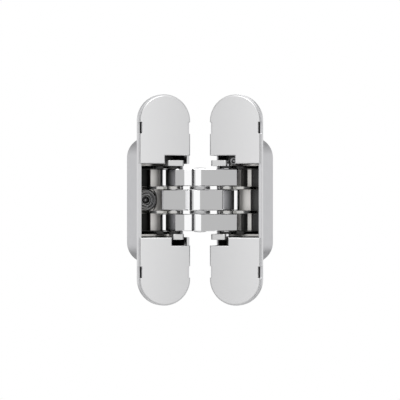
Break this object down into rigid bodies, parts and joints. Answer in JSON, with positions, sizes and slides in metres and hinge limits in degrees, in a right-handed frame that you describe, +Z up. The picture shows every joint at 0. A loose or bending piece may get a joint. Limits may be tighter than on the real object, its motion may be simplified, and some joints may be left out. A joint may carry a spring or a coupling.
{
  "type": "concealed door hinge",
  "caption": "Concealed hinge with two leaves set into door and frame edges, joined by crossed arms that fold away, with height, side and depth adjustment.",
  "frame": {"origin": "middle of the left leaf's plate, on the rear face that seats on the door frame", "axes": "+Z up along the hinge's height, +Y from the plate's rear face into the frame's mortise, +X from the left leaf towards the right leaf; the right leaf stands turned by 30 degrees, which is 150 degrees open"},
  "size_m": [0.0655, 0.0417, 0.095],
  "materials": {
    "housing_satin": "satin chrome on die-cast zinc",
    "cap_satin": "fine satin chrome on thin pressed covers",
    "carrier_satin": "semi-bright chrome on die-cast zinc",
    "block_satin": "light satin",
    "pin_steel": "ground steel",
    "screw_steel": "blackened turned steel",
    "arm_chrome": "mirror-bright chrome"
  },
  "bodies": {
    "left_leaf": {"left_housing": "housing_satin", "left_upper_cap": "cap_satin", "left_lower_cap": "cap_satin"},
    "left_carrier": {"left_carrier": "carrier_satin", "left_upper_block": "block_satin", "left_lower_block": "block_satin", "left_arm_pin": "pin_steel"},
    "height_screw": {"height_screw": "screw_steel"},
    "inner_arm": {"inner_arm": "arm_chrome", "centre_pin": "pin_steel", "centre_washers": "pin_steel", "right_guide_pin": "pin_steel"},
    "outer_arms": {"upper_arm": "arm_chrome", "lower_arm": "arm_chrome", "left_guide_pins": "pin_steel"},
    "right_carrier": {"right_carrier": "carrier_satin", "right_upper_block": "block_satin", "right_lower_block": "block_satin", "right_arm_pins": "pin_steel"},
    "side_screw": {"side_screw": "screw_steel"},
    "cross_slide": {"cross_slide": "screw_steel"},
    "right_leaf": {"right_housing": "housing_satin", "right_upper_cap": "cap_satin", "right_lower_cap": "cap_satin"},
    "upper_depth_screw": {"upper_depth_screw": "screw_steel"},
    "lower_depth_screw": {"lower_depth_screw": "screw_steel"}
  },
  "joints": [
    {"name": "height_adjust", "type": "slide", "parent": "left_leaf", "child": "left_carrier", "axis": [0, 0, 1], "range_m": [-0.0014, 0.0014]},
    {"name": "height_screw_turn", "type": "hinge", "parent": "left_carrier", "child": "height_screw", "pos_m": [-0.0039, 0, 0], "axis": [0, -1, 0], "range_deg": [-90, 90]},
    {"name": "arm_swing", "type": "hinge", "parent": "left_carrier", "child": "inner_arm", "pos_m": [0.0052, 0.0002, 0], "axis": [0, 0, 1], "range_deg": [-101.78, 20.36]},
    {"name": "arm_cross", "type": "hinge", "parent": "inner_arm", "child": "outer_arms", "pos_m": [0.01495, -0.00929, 0], "axis": [0, 0, 1], "range_deg": [-10.71, 53.55]},
    {"name": "right_swing", "type": "hinge", "parent": "outer_arms", "child": "right_carrier", "pos_m": [0.02813, -0.00594, 0], "axis": [0, 0, 1], "range_deg": [-101.78, 20.36]},
    {"name": "side_adjust", "type": "slide", "parent": "right_carrier", "child": "cross_slide", "axis": [0.866, -0.5, 0], "range_m": [-0.001, 0.001]},
    {"name": "side_screw_turn", "type": "hinge", "parent": "right_carrier", "child": "side_screw", "pos_m": [0.02831, -0.01182, 0.0176], "axis": [-0.5, -0.866, 0], "range_deg": [-90, 90]},
    {"name": "depth_adjust", "type": "slide", "parent": "cross_slide", "child": "right_leaf", "axis": [0.5, 0.866, 0], "range_m": [-0.001, 0.001]},
    {"name": "upper_depth_screw_turn", "type": "hinge", "parent": "right_leaf", "child": "upper_depth_screw", "pos_m": [0.03013, -0.01287, 0.0241], "axis": [-0.5, -0.866, 0], "range_deg": [-90, 90]},
    {"name": "lower_depth_screw_turn", "type": "hinge", "parent": "right_leaf", "child": "lower_depth_screw", "pos_m": [0.03013, -0.01287, -0.0241], "axis": [-0.5, -0.866, 0], "range_deg": [-90, 90]}
  ],
  "couplings": [
    {"joint": "arm_cross", "follows": "arm_swing", "ratio": -0.52616},
    {"joint": "right_swing", "follows": "arm_swing", "ratio": 1},
    {"joint": "height_screw_turn", "follows": "height_adjust", "rad_per_m": 1122},
    {"joint": "side_screw_turn", "follows": "side_adjust", "rad_per_m": 1570.8},
    {"joint": "upper_depth_screw_turn", "follows": "depth_adjust", "rad_per_m": 1570.8},
    {"joint": "lower_depth_screw_turn", "follows": "depth_adjust", "rad_per_m": 1570.8}
  ]
}
